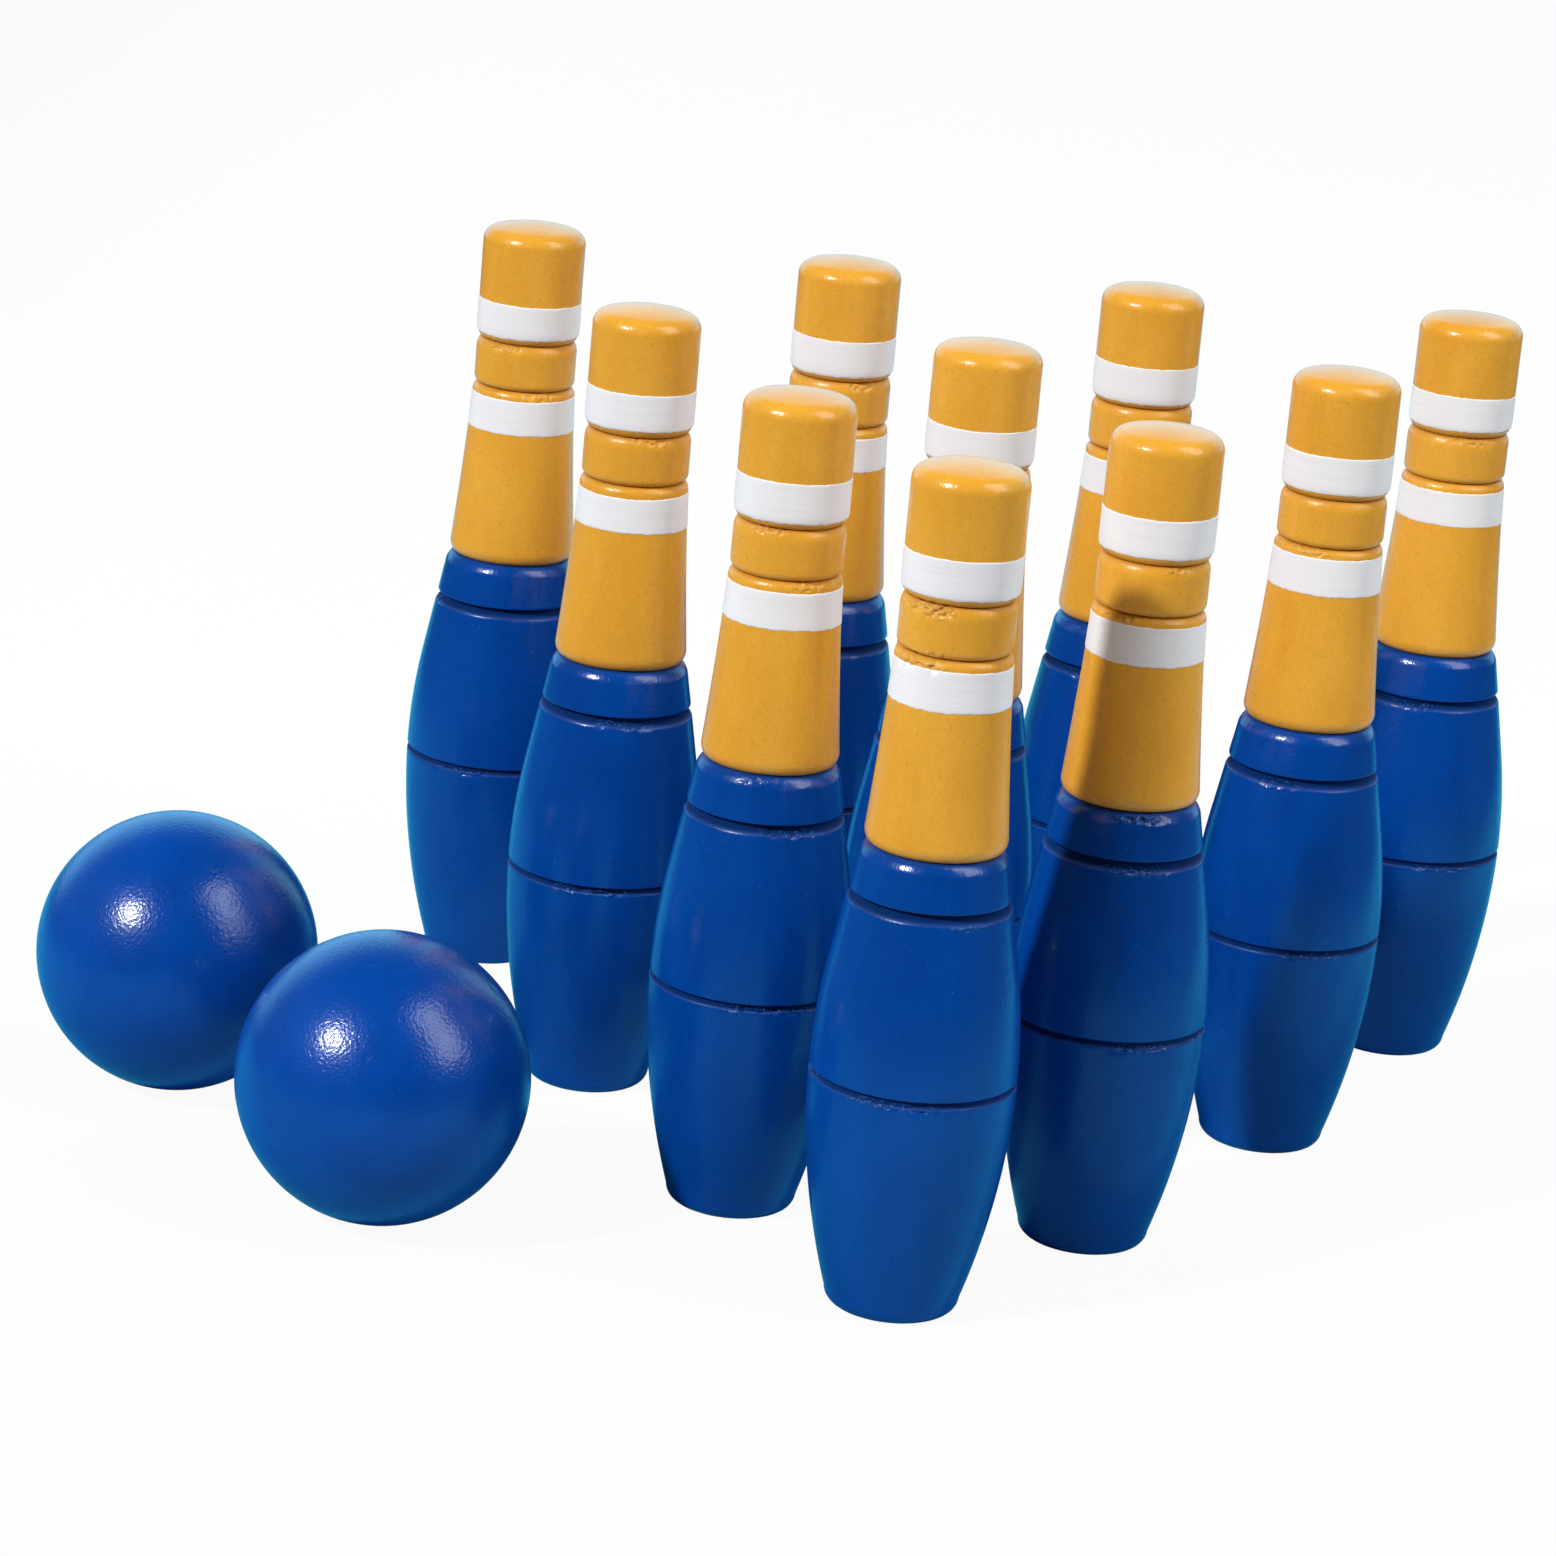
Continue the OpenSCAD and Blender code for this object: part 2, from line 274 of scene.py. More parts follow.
def bodyOutline(shape):
    hollow, hollowRadius = shape["footHollow"]
    rows = [(r, hollow * (1 - r / hollowRadius), 0.0, 0.0) for r in (innermost, 3, 6, 9, hollowRadius)]
    foot = shape["footEdge"]
    rows += quarter(shape["footRadius"], 0.0, bodySide(foot), foot, 9)
    bellyZ, bellyWide, _ = shape["bellyGroove"]
    collarZ, collarWide, _ = shape["collarGroove"]
    # fine rings through each groove, and coarse ones between them
    heights = list(evenly(foot + 1, bellyZ - bellyWide * 1.1, shape["sideStep"]))
    heights += list(evenly(bellyZ - bellyWide, bellyZ + bellyWide * 0.7, shape["bellyStep"]))
    heights += list(evenly(bellyZ + bellyWide * 0.9, collarZ - collarWide * 1.1, shape["sideStep"]))
    heights += list(evenly(collarZ - collarWide, collarZ + collarWide * 0.65, shape["collarStep"]))
    shoulderFrom = shape["seam"] - shape["shoulder"]
    heights += list(evenly(collarZ + collarWide * 0.85, shoulderFrom - 0.5, shape["topStep"]))
    for z in heights:
        low, high = grooveCut(z, shape["bellyGroove"]), grooveCut(z, shape["collarGroove"])
        rows.append((bodySide(z) - low[0] - high[0], z, 1.0, low[1] + high[1]))
    rows += shoulderRows(shape)[::-1]
    rows += [(r, shape["seam"], 0.0, 0.0) for r in (10, shape["boreRadius"])]
    rows += [(r, shape["boreFloor"], 0.0, 0.0) for r in (shape["boreRadius"], 3, innermost)]
    return rows


pinNeck = {
    "steps": 230,
    "seam": 111.3, "crease": 14.7, "lowRadius": 16.4, "lowEdge": 2.7, "topRadius": 13.5, "flare": 1.25,
    "lip": 155.1, "lowGroove": 157.3, "grooveRadius": 11.6, "ringRadius": 13.25, "ringLow": 1.8,
    "ringHigh": 3.0, "highGroove": 169.5, "headRadius": 13.45, "headLow": 3.0, "edgeRadius": 3.8,
    "crown": 1.2, "top": 200.0,
    "tenonRadius": 6.0, "tenonTip": 89.3, "tenonBevel": 1.0,
    "sideStep": 1.0, "lipStep": 0.3, "ringStep": 0.6,   # mm between the mesh's rings
}


def neckSide(z, shape=pinNeck):
    low, high = shape["seam"] + shape["lowEdge"], shape["lip"]
    return shape["topRadius"] + (shape["lowRadius"] - shape["topRadius"]) * \
        (max(0, high - z) / (high - low)) ** shape["flare"]


def headSide(z, shape=pinNeck):
    t = min(1, (z - shape["highGroove"]) / shape["headLow"])
    return shape["grooveRadius"] + (shape["headRadius"] - shape["grooveRadius"]) * math.sqrt(1 - (1 - t) ** 2)


def neckOutline(shape):
    tip, bevel, tenon, seam = shape["tenonTip"], shape["tenonBevel"], shape["tenonRadius"], shape["seam"]
    rows = [(innermost, tip, 0.0, 0.0), (tenon - bevel, tip, 0.0, 0.0), (tenon, tip + bevel, 0.0, 0.0),
            (tenon, seam, 0.0, 0.0), (10, seam, 0.0, 0.0)]
    # the neck's lower edge darkens into the crease on the collar, the crease most: pooled paint and painted
    # shade
    rows += quarter(shape["crease"], seam, shape["lowRadius"], seam + shape["lowEdge"], 10, 0.8)
    rows[5] = (shape["crease"], seam, 0.0, 1.0)
    sideFrom, lip = seam + shape["lowEdge"] + 0.8, shape["lip"]
    rows += [(neckSide(z), z, 1.0, 0.0) for z in evenly(sideFrom, lip - 2.4, shape["sideStep"])]
    rows += [(neckSide(z), z, 1.0, 0.0) for z in evenly(lip - 1.8, lip - 0.3, shape["lipStep"])]
    groove, low, high = shape["grooveRadius"], shape["lowGroove"], shape["highGroove"]
    # the grooves round the ring darken the same way
    rows += quarter(groove, low, shape["topRadius"], lip, 12, 1.0)[::-1]
    ring = shape["ringRadius"]
    rows += quarter(groove, low, ring, low + shape["ringLow"], 11, 1.0)[1:]
    ringFrom, ringTo = low + shape["ringLow"] + 0.6, high - shape["ringHigh"] - 0.5
    rows += [(ring, z, 1.0, 0.0) for z in evenly(ringFrom, ringTo, shape["ringStep"])]
    rows += quarter(groove, high, ring, high - shape["ringHigh"], 14, 1.0)[::-1]
    head = shape["headRadius"]
    rows += quarter(groove, high, head, high + shape["headLow"], 14, 1.0)[1:]
    edgeZ = shape["top"] - shape["crown"] - shape["edgeRadius"]
    crownRadius = head - shape["edgeRadius"]
    headFrom = high + shape["headLow"] + 0.9
    rows += [(head, z, 1.0, 0.0) for z in evenly(headFrom, edgeZ - 0.6, shape["sideStep"])]
    # the edge rounds over until it runs straight on into the crown
    slope = 2 * shape["crown"] / crownRadius
    last = math.pi / 2 - math.atan(slope)
    for a in np.linspace(0, last, 15):
        radius = crownRadius + shape["edgeRadius"] * math.cos(a)
        rows.append((radius, edgeZ + shape["edgeRadius"] * math.sin(a), 1.0 - a / 2, 0.0))
    r0, z0 = rows[-1][0], rows[-1][1]
    for r in (9.6, 8.4, 6.8, 5.0, 3.2, 1.6, innermost):
        rows.append((r, min(shape["top"] - 0.01, z0 + slope * (r0 - r * r / r0) / 2), 0.1 + r / 50, 0.0))
    return rows


whiteBand = {
    "steps": 220,
    "paint": 0.14,        # mm of paint over the wood
    "headBand": (171.1, 180.3), "neckBand": (145.8, 154.8),
    "radius": 13.5, "girth": 85,   # mm, of the head
    "sunk": 0.35,         # mm, how deep the ring closes in the wood
    "drift": 0.22, "driftCell": 24,      # mm, the brush wandering as the pin turned
    "ragged": 0.13, "raggedCell": 1.1,   # mm, where paint crept along the grain
    "shift": 0.25,        # mm, one edge set higher or lower than another pin's
    "edge": (0.0, 0.06, 0.16, 0.34, 0.7),   # mm from the edge, where the paint thickens
}


# A thin ring of paint whose edges wander and fray; it closes through the wood behind it
def bandMesh(name, pin, span, sideRadius, middle, relief, seamTurn, look):
    rng = np.random.default_rng(900 + pin * 7 + int(span[0]))
    steps = look["steps"]
    turn = np.arange(steps) / steps
    edges = []
    for where, fray in ((span[0], 1.0), (span[1], 0.55)):
        drift = sideNoise(rng, look["girth"], 10, look["driftCell"], 4)
        ragged = sideNoise(rng, look["girth"], 10, look["raggedCell"], 4)
        shift = rng.uniform(-look["shift"], look["shift"])
        edges.append(where + shift + look["drift"] * drift(turn, turn * 0 + 2)
                     + look["ragged"] * fray * np.minimum(0.4, ragged(turn, turn * 0 + 2)) * 1.6)
    low, high = edges
    edge, flat = look["edge"], look["edge"][-1]
    heights = [low + d for d in edge]
    heights += [low + flat + (high - low - 2 * flat) * t for t in np.linspace(0, 1, 9)[1:-1]]
    heights += [high - d for d in edge[::-1]]
    height = np.array(heights)
    inner = np.array([high - 0.02, (high + low) / 2, low + 0.02])
    fromEdge = np.minimum(height - low, high - height)
    thick = look["paint"] * smooth(0.2 + fromEdge / 0.3)
    wood = np.vectorize(sideRadius)
    outer = wood(height) - relief(turn[None, :] + 0 * height, height, look["radius"])[0] + thick
    hidden = wood(inner) - look["sunk"]
    return ringMesh(name, np.vstack([outer, hidden]), np.vstack([height, inner]), middle, seamTurn, False)


# Gloss enamel, sprayed over turned and sanded beech. The spray leaves an orange peel that breaks up the
# lamp's reflection, the long grain shows through as faint lengthwise lines, and paint pools in the grooves.
# The darker colour in the grooves and creases is that pooled paint and also painted shade.
bluePaint = {
    "name": "blueGlossEnamelOverTurnedBeech",
    # the groove colour is pooled paint and painted shade
    "colour": "#0046A0", "deep": "#003F94", "speck": "#00245C", "poolShade": "#002458", "fleck": "#5C9CE0",
    "roughness": (0.16, 0.24), "ior": 1.5,
    "peel": (0.9, 0.028),          # mm across (the real one is nearer 0.5, too fine to show), mm high
    "grain": (0.55, 14.0, 0.012),  # mm across, mm long, mm high
    "rings": (2.6, 0.014),         # mm between growth rings, mm high
    "turning": (0.9, 0.006),       # mm between tool marks (the real 0.3 mm is too fine to show), mm high
    "pores": (1.9, 0.09, 0.02),    # mm between, share of that across, mm deep
    "dashes": (0.4, 2.6, 0.16),    # mm across, mm long, strength of the dark fibres
    "mottle": (1.3, 0.1),          # mm across, strength
    "grainTone": 0.1, "poreTone": 0.3, "tornTone": 0.8, "dust": 0.45,
}

# Satin enamel over the same beech: thinner and softer, so more of the fibres show and the gloss is wider
yellowPaint = {
    "name": "yellowSatinEnamelOverTurnedBeech",
    # the groove colour is pooled paint and painted shade
    "colour": "#F0B03C", "deep": "#E8A530", "speck": "#B4761A", "poolShade": "#8E4A08", "fleck": "#F8E8C0",
    "roughness": (0.2, 0.3), "ior": 1.5,
    "peel": (0.7, 0.036),
    "grain": (0.5, 4.0, 0.008),
    "rings": (2.3, 0.014),
    "turning": (0.8, 0.006),
    "pores": (1.5, 0.09, 0.02),
    "dashes": (0.42, 0.7, 0.2),
    "mottle": (1.1, 0.14),
    "grainTone": 0.04, "poreTone": 0.4, "tornTone": 0.6, "dust": 0.0,
}

# The balls have a thicker coat of the blue, so the peel is rounder and the grain hardly shows
ballPaint = {
    "name": "blueGlossEnamelOverTurnedBall",
    "colour": "#0048A8", "deep": "#00419B", "speck": "#00265F", "poolShade": "#00174A", "fleck": "#5C9CE0",
    "roughness": (0.2, 0.25), "ior": 1.5,
    "peel": (0.8, 0.05),
    "grain": (0.6, 13.0, 0.006),
    "rings": (3.0, 0.012),
    "turning": (1.1, 0.003),
    "pores": (3.2, 0.07, 0.02),
    "dashes": (0.5, 2.4, 0.08),
    "mottle": (1.5, 0.05),
    "grainTone": 0.05, "poreTone": 0.4, "tornTone": 0.0, "dust": 0.35,
}


# Wood patterns that the three paints share, as (mm across, mm along the grain)
beechGrain = {
    "tone": (14, 34),          # slow change from one shade of the paint to the other
    "bend": (16, 90),          # the growth rings' wandering along the plank
    "bendBy": 5.0,             # mm
    "markLong": 60,            # mm, how far round one tool mark runs
    "poreLong": 1.9,           # a pore's cell, this many times as long as it is wide
    "poreless": 0.7,           # share of the cells with no pore
    "dust": (0.5, 0.9), "dustDrift": (9, 12),
    "crumbs": (0.7, 0.5),      # torn fibres
    "crumbHigh": 0.5,          # mm
    "mottleLong": 1.6,
    # from which value of each noise its pattern shows, and from which it is full
    "toneSpan": (0.35, 0.65), "grainSpan": (0.42, 0.75), "dashSpan": (0.56, 0.72), "mottleSpan": (0.45, 0.75),
    "dustSpan": (0.7, 0.77), "crumbSpan": (0.6, 0.68), "glossSpan": (0.3, 0.7), "driftFrom": 0.5,
    # the next is pooled paint and painted shade in the grooves and creases
    "poolShadeTone": 0.85,          # strength of the darker colour in the grooves
    "pooledDull": 0.75, "tornDull": 0.05,   # added to the roughness: paint in the grooves dried dull
    "specular": 0.5, "pooledMatt": 0.38,    # and mirrors hardly anything
    "levelled": 0.85,          # share of the relief that thick paint on the head's top hides
}


def paintedWood(look, wood=beechGrain):
    material = bpy.data.materials.new(look["name"])
    material.use_nodes = True
    tree = material.node_tree
    tree.nodes.clear()

    def add(kind, settings):
        return addNode(tree, kind, settings)

    plank = add("ShaderNodeAttribute", {"attribute_name": "plankPlace"}).outputs["Vector"]

    # the same place with each direction divided by the size of the pattern
    def scaled(across, along):
        return add("ShaderNodeVectorMath", {"operation": "MULTIPLY", 0: plank,
                                            1: (1 / across, 1 / across, 1 / along)}).outputs[0]

    tone = add("ShaderNodeTexNoise", {"Vector": scaled(*wood["tone"]), "Scale": 1.0, "Detail": 3.0,
                                      "Roughness": 0.55}).outputs[0]
    across, along, grainHigh = look["grain"]
    grain = add("ShaderNodeTexNoise", {"Vector": scaled(across, along), "Scale": 1.0, "Detail": 2.5,
                                       "Roughness": 0.6}).outputs[0]
    peelWide, peelHigh = look["peel"]
    peel = add("ShaderNodeTexNoise", {"Vector": scaled(peelWide, peelWide), "Scale": 1.0, "Detail": 1.5,
                                      "Roughness": 0.5}).outputs[0]
    dashWide, dashLong, dashTone = look["dashes"]
    dashes = add("ShaderNodeTexNoise", {"Vector": scaled(dashWide, dashLong), "Scale": 1.0,
                                        "Detail": 1.0}).outputs[0]
    start, full = wood["dashSpan"]
    dash = add("ShaderNodeMapRange", {"Value": dashes, "From Min": start, "From Max": full,
                                      "To Max": dashTone}).outputs[0]

    # growth rings: the distance from the pith, bent a little along the plank
    bend = add("ShaderNodeTexNoise", {"Vector": scaled(*wood["bend"]), "Scale": 1.0,
                                      "Detail": 2.0}).outputs[0]
    flat = add("ShaderNodeVectorMath", {"operation": "MULTIPLY", 0: plank, 1: (1, 1, 0)}).outputs[0]
    fromPith = add("ShaderNodeVectorMath", {"operation": "LENGTH", 0: flat}).outputs["Value"]
    ringPitch, ringHigh = look["rings"]
    ringPlace = add("ShaderNodeMath", {"operation": "MULTIPLY_ADD", 0: bend, 1: wood["bendBy"],
                                       2: fromPith}).outputs[0]
    swing = add("ShaderNodeMath", {"operation": "PINGPONG", 0: ringPlace, 1: ringPitch / 2}).outputs[0]
    across = add("ShaderNodeMath", {"operation": "DIVIDE", 0: swing, 1: ringPitch / 2}).outputs[0]
    ring = add("ShaderNodeMath", {"operation": "POWER", 0: across, 1: 3.0}).outputs[0]

    # tool marks: fine rings round the piece, uneven in height
    turnPitch, turnHigh = look["turning"]
    turning = add("ShaderNodeTexNoise", {"Vector": scaled(wood["markLong"], turnPitch), "Scale": 1.0,
                                         "Detail": 1.0}).outputs[0]

    # pores: short dots stretched along the grain, most cells empty
    poreGap, poreShare, poreDeep = look["pores"]
    cells = add("ShaderNodeTexVoronoi", {"Vector": scaled(poreGap, poreGap * wood["poreLong"]), "Scale": 1.0})
    chance = add("ShaderNodeSeparateColor", {0: cells.outputs["Color"]}).outputs[0]
    chosen = add("ShaderNodeMath", {"operation": "GREATER_THAN", 0: chance, 1: wood["poreless"]}).outputs[0]
    dot = add("ShaderNodeMapRange", {"interpolation_type": "SMOOTHSTEP", "Value": cells.outputs["Distance"],
                                     "From Min": poreShare, "From Max": poreShare * 2,
                                     "To Min": 1.0, "To Max": 0.0}).outputs[0]
    pore = add("ShaderNodeMath", {"operation": "MULTIPLY", 0: dot, 1: chosen}).outputs[0]

    # dust that dried into the paint: rare pale flecks of no set shape, in drifts
    flecks = add("ShaderNodeTexNoise", {"Vector": scaled(*wood["dust"]), "Scale": 1.0, "Detail": 2.0,
                                        "Roughness": 0.6}).outputs[0]
    start, full = wood["dustSpan"]
    fleckShare = add("ShaderNodeMapRange", {"Value": flecks, "From Min": start, "From Max": full,
                                            "To Max": look["dust"]}).outputs[0]
    drift = add("ShaderNodeTexNoise", {"Vector": scaled(*wood["dustDrift"]), "Scale": 1.0,
                                       "Detail": 2.0}).outputs[0]
    inDrift = add("ShaderNodeMath", {"operation": "GREATER_THAN", 0: drift, 1: wood["driftFrom"]}).outputs[0]
    dust = add("ShaderNodeMath", {"operation": "MULTIPLY", 0: fleckShare, 1: inDrift}).outputs[0]

    # torn grain: lifted fibres that the paint only half covers
    torn = add("ShaderNodeAttribute", {"attribute_name": "torn"}).outputs["Fac"]
    crumbs = add("ShaderNodeTexNoise", {"Vector": scaled(*wood["crumbs"]), "Scale": 1.0, "Detail": 2.0,
                                        "Roughness": 0.6}).outputs[0]
    start, full = wood["crumbSpan"]
    bare = add("ShaderNodeMapRange", {"Value": crumbs, "From Min": start, "From Max": full}).outputs[0]
    # darker colour in the grooves and creases: pooled paint and painted shade
    poolAndShade = add("ShaderNodeAttribute", {"attribute_name": "poolAndShade"}).outputs["Fac"]

    # colour: two close tones, darker along the grain and in the pores, and darker in the grooves and creases,
    # which is paint pooled there and painted shade
    start, full = wood["toneSpan"]
    toneShare = add("ShaderNodeMapRange", {"Value": tone, "From Min": start, "From Max": full}).outputs[0]
    base = add("ShaderNodeMix", {"data_type": "RGBA", 0: toneShare, 6: linear(look["colour"]),
                                 7: linear(look["deep"])}).outputs[2]
    start, full = wood["grainSpan"]
    grainShare = add("ShaderNodeMapRange", {"Value": grain, "From Min": start, "From Max": full,
                                            "To Max": look["grainTone"]}).outputs[0]
    mottleWide, mottleTone = look["mottle"]
    mottle = add("ShaderNodeTexNoise", {"Vector": scaled(mottleWide, mottleWide * wood["mottleLong"]),
                                        "Scale": 1.0, "Detail": 3.0, "Roughness": 0.7}).outputs[0]
    start, full = wood["mottleSpan"]
    mottleShare = add("ShaderNodeMapRange", {"Value": mottle, "From Min": start, "From Max": full,
                                             "To Max": mottleTone}).outputs[0]
    lines = add("ShaderNodeMath", {"operation": "ADD", 0: grainShare, 1: dash}).outputs[0]
    poreTone = add("ShaderNodeMath", {"operation": "MULTIPLY", 0: pore, 1: look["poreTone"]}).outputs[0]
    marks = add("ShaderNodeMath", {"operation": "MAXIMUM", 0: lines, 1: poreTone}).outputs[0]
    dark = add("ShaderNodeMath", {"operation": "ADD", 0: mottleShare, 1: marks}).outputs[0]
    specked = add("ShaderNodeMix", {"data_type": "RGBA", 0: dark, 6: base,
                                    7: linear(look["speck"])}).outputs[2]
    poolShadeShare = add("ShaderNodeMath", {"operation": "MULTIPLY", 0: poolAndShade, 1: wood["poolShadeTone"]}).outputs[0]
    poolShaded = add("ShaderNodeMix", {"data_type": "RGBA", 0: poolShadeShare, 6: specked,
                                     7: linear(look["poolShade"])}).outputs[2]
    bareTorn = add("ShaderNodeMath", {"operation": "MULTIPLY", 0: bare, 1: torn}).outputs[0]
    tornTone = add("ShaderNodeMath", {"operation": "MULTIPLY", 0: bareTorn, 1: look["tornTone"]}).outputs[0]
    pale = add("ShaderNodeMath", {"operation": "MAXIMUM", 0: tornTone, 1: dust}).outputs[0]
    coloured = add("ShaderNodeMix", {"data_type": "RGBA", 0: pale, 6: poolShaded,
                                     7: linear(look["fleck"])}).outputs[2]

    start, full = wood["glossSpan"]
    low, high = look["roughness"]
    gloss = add("ShaderNodeMapRange", {"Value": grain, "From Min": start, "From Max": full, "To Min": low,
                                       "To Max": high}).outputs[0]
    for mask, dull in ((poolAndShade, wood["pooledDull"]), (torn, wood["tornDull"])):
        gloss = add("ShaderNodeMath", {"operation": "MULTIPLY_ADD", 0: mask, 1: dull, 2: gloss}).outputs[0]
    mirrored = add("ShaderNodeMath", {"operation": "MULTIPLY_ADD", 0: poolAndShade, 1: -wood["pooledMatt"],
                                      2: wood["specular"]}).outputs[0]

    # relief in mm, levelled on the head's top, which soaked up more coats
    tornCrumbs = add("ShaderNodeMath", {"operation": "MULTIPLY", 0: crumbs, 1: torn}).outputs[0]
    height = add("ShaderNodeMath", {"operation": "MULTIPLY", 0: peel, 1: 2 * peelHigh}).outputs[0]
    for pattern, lift in ((grain, 2 * grainHigh), (ring, -ringHigh), (turning, 2 * turnHigh),
                          (pore, -poreDeep), (tornCrumbs, wood["crumbHigh"])):
        height = add("ShaderNodeMath", {"operation": "MULTIPLY_ADD", 0: pattern, 1: lift,
                                        2: height}).outputs[0]
    filled = add("ShaderNodeAttribute", {"attribute_name": "filled"}).outputs["Fac"]
    shown = add("ShaderNodeMath", {"operation": "MULTIPLY_ADD", 0: filled, 1: -wood["levelled"],
                                   2: 1.0}).outputs[0]
    height = add("ShaderNodeMath", {"operation": "MULTIPLY", 0: height, 1: shown}).outputs[0]
    bump = add("ShaderNodeBump", {"Strength": 1.0, "Distance": mm, "Height": height}).outputs[0]

    shader = add("ShaderNodeBsdfPrincipled", {"Metallic": 0.0, "IOR": look["ior"], "Base Color": coloured,
                                              "Roughness": gloss, "Specular IOR Level": mirrored,
                                              "Normal": bump})
    add("ShaderNodeOutputMaterial", {"Surface": shader.outputs[0]})
    return material


# White satin paint, brushed on while the pin turned on the lathe: fine ridges run round it
bandPaint = {
    "name": "whiteSatinPaintBrushedOnTheLathe",
    "colour": "#F4F5F8", "thin": "#ECECEE",
    "roughness": (0.34, 0.46), "ior": 1.48,
    "ridge": (0.34, 26.0, 0.009),  # mm between (drawn coarser than the real bristle lines), mm long, mm high
    "thinSpan": (0.45, 0.8), "glossSpan": (0.3, 0.7),   # as in beechGrain
    "peel": (0.8, 0.009),
}


def brushedPaint(look):
    material = bpy.data.materials.new(look["name"])
    material.use_nodes = True
    tree = material.node_tree
    tree.nodes.clear()

    def add(kind, settings):
        return addNode(tree, kind, settings)

    plank = add("ShaderNodeAttribute", {"attribute_name": "plankPlace"}).outputs["Vector"]
    gap, longWay, ridgeHigh = look["ridge"]
    stretched = add("ShaderNodeVectorMath", {"operation": "MULTIPLY", 0: plank,
                                             1: (1 / longWay, 1 / longWay, 1 / gap)}).outputs[0]
    ridge = add("ShaderNodeTexNoise", {"Vector": stretched, "Scale": 1.0, "Detail": 2.0,
                                       "Roughness": 0.6}).outputs[0]
    peelWide, peelHigh = look["peel"]
    fine = add("ShaderNodeVectorMath", {"operation": "MULTIPLY", 0: plank, 1: (1 / peelWide,) * 3}).outputs[0]
    peel = add("ShaderNodeTexNoise", {"Vector": fine, "Scale": 1.0, "Detail": 1.0}).outputs[0]
    start, full = look["thinSpan"]
    share = add("ShaderNodeMapRange", {"Value": ridge, "From Min": start, "From Max": full}).outputs[0]
    colour = add("ShaderNodeMix", {"data_type": "RGBA", 0: share, 6: linear(look["colour"]),
                                   7: linear(look["thin"])}).outputs[2]
    start, full = look["glossSpan"]
    low, high = look["roughness"]
    gloss = add("ShaderNodeMapRange", {"Value": ridge, "From Min": start, "From Max": full, "To Min": low,
                                       "To Max": high}).outputs[0]
    ridges = add("ShaderNodeMath", {"operation": "MULTIPLY", 0: ridge, 1: 2 * ridgeHigh}).outputs[0]
    height = add("ShaderNodeMath", {"operation": "MULTIPLY_ADD", 0: peel, 1: 2 * peelHigh,
                                    2: ridges}).outputs[0]
    bump = add("ShaderNodeBump", {"Strength": 1.0, "Distance": mm, "Height": height}).outputs[0]
    shader = add("ShaderNodeBsdfPrincipled", {"Metallic": 0.0, "IOR": look["ior"], "Base Color": colour,
                                              "Roughness": gloss, "Normal": bump})
    add("ShaderNodeOutputMaterial", {"Surface": shader.outputs[0]})
    return material


blueEnamel = paintedWood(bluePaint)
yellowEnamel = paintedWood(yellowPaint)
ballEnamel = paintedWood(ballPaint)
whitePaint = brushedPaint(bandPaint)
print("paints made")


def middleOf(node):
    low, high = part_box(node)
    return ((low.x + high.x) / 2 / mm, (low.y + high.y) / 2 / mm)


def finish(piece, material, body, node):
    piece.data.materials.append(material)
    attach(piece, body)
    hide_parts(node)


# turn 0 of every piece points away from the camera, so that the relief's angles are counted from there
awayFromCamera = 0.25
# mm from a pin's middle to the pith of its plank, and how far the grain leans, in mm for each mm of height
pinPlank = {"pithAway": (18, 70), "lean": 0.03}

for pin in range(1, pinCount + 1):
    rng = np.random.default_rng(40 + pin)
    middle = middleOf(f"pin_{pin}_body")
    relief = pinRelief(pin, turnedWood)
    pieces = [
        (turnedMesh(f"pin{pin}Body", bodyOutline(pinBody), middle, relief, pinBody["steps"], awayFromCamera),
         blueEnamel, f"pin_{pin}_body", "blue_paint"),
        (turnedMesh(f"pin{pin}Neck", neckOutline(pinNeck), middle, relief, pinNeck["steps"], awayFromCamera),
         yellowEnamel, f"pin_{pin}_neck", "yellow_paint"),
        (bandMesh(f"pin{pin}HeadBand", pin, whiteBand["headBand"], headSide, middle, relief, awayFromCamera,
                  whiteBand),
         whitePaint, f"pin_{pin}_head_band", "white_paint"),
        (bandMesh(f"pin{pin}NeckBand", pin, whiteBand["neckBand"], neckSide, middle, relief, awayFromCamera,
                  whiteBand),
         whitePaint, f"pin_{pin}_neck_band", "white_paint"),
    ]
    for piece, material, node, slot in pieces:
        pithAngle, pithAway = rng.uniform(0, 2 * math.pi), rng.uniform(*pinPlank["pithAway"])
        pith = (pithAway * math.cos(pithAngle), pithAway * math.sin(pithAngle))
        markGrain(piece, middle, pith, rng.uniform(-pinPlank["lean"], pinPlank["lean"], 2))
        finish(piece, material, f"pin_{pin}", node)
print("pins turned and painted")


turnedBall = {
    "radius": 34.7, "cuts": 72,
    "waver": (0.06, 5, 1.6), "ripple": (0.02, 9, 6.0),   # mm deep, number of waves, how close they lie
    "pith": (30, 12, 0),                # mm from the ball's middle to the plank's pith
    "nicks": 14, "nickWide": (0.4, 1.0), "nickDeep": (0.05, 0.2),
}


